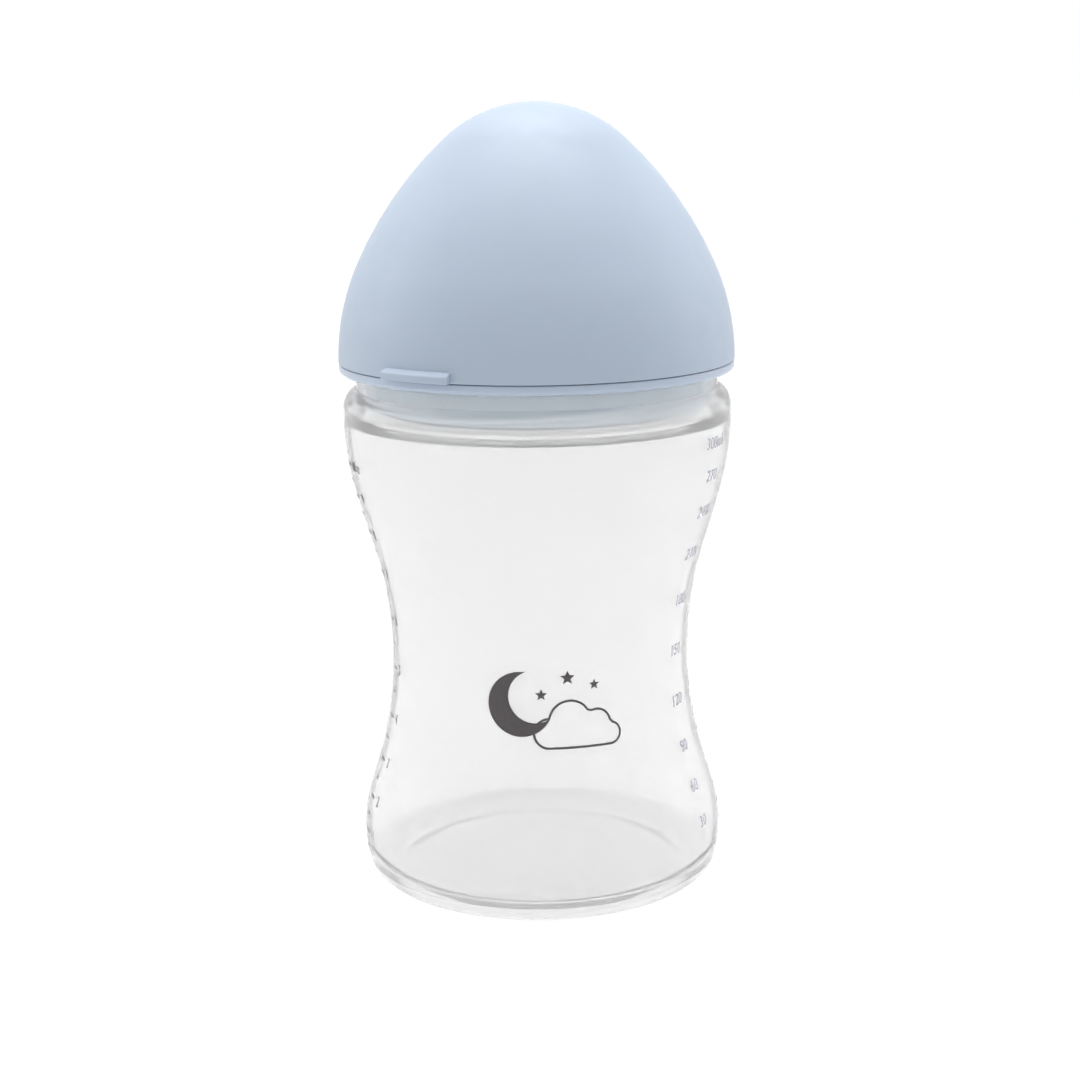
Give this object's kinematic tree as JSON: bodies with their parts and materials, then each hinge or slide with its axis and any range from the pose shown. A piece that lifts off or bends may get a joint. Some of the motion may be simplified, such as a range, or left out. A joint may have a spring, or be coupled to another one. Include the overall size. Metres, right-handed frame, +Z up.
{
  "type": "baby bottle",
  "caption": "Wide-neck baby bottle with an hourglass body, a screw collar, a soft teat and an egg-shaped push-on dome cap.",
  "frame": {"origin": "centre of the bottle's base, on the plane of its standing ring", "axes": "+Z up the bottle's axis towards the dome cap, -Y the front with the emblem, +X to the right seen from the front"},
  "size_m": [0.08, 0.08, 0.159],
  "materials": {
    "bottle_body": "clear moulded polypropylene, slightly hazy, with printed volume scales",
    "teat": "soft translucent silicone",
    "screw_collar": "pale blue satin plastic",
    "dome_cap": "pale blue matte moulded plastic"
  },
  "bodies": {
    "bottle": {"bottle_body": "bottle_body"},
    "teat_body": {"teat": "teat"},
    "collar": {"screw_collar": "screw_collar"},
    "dome": {"dome_cap": "dome_cap"}
  },
  "joints": [
    {"name": "teat_lift", "type": "slide", "parent": "bottle", "child": "teat_body", "axis": [0, 0, 1], "range_m": [0, 0.009]},
    {"name": "collar_turn", "type": "hinge", "parent": "teat_body", "child": "collar", "pos_m": [0, 0, 0.107], "axis": [0, 0, 1], "range_deg": [0, 360]},
    {"name": "dome_lift", "type": "slide", "parent": "collar", "child": "dome", "axis": [0, 0, 1], "range_m": [0, 0.06]}
  ],
  "couplings": [
    {"joint": "teat_lift", "follows": "collar_turn", "m_per_rad": 0.0014324}
  ]
}
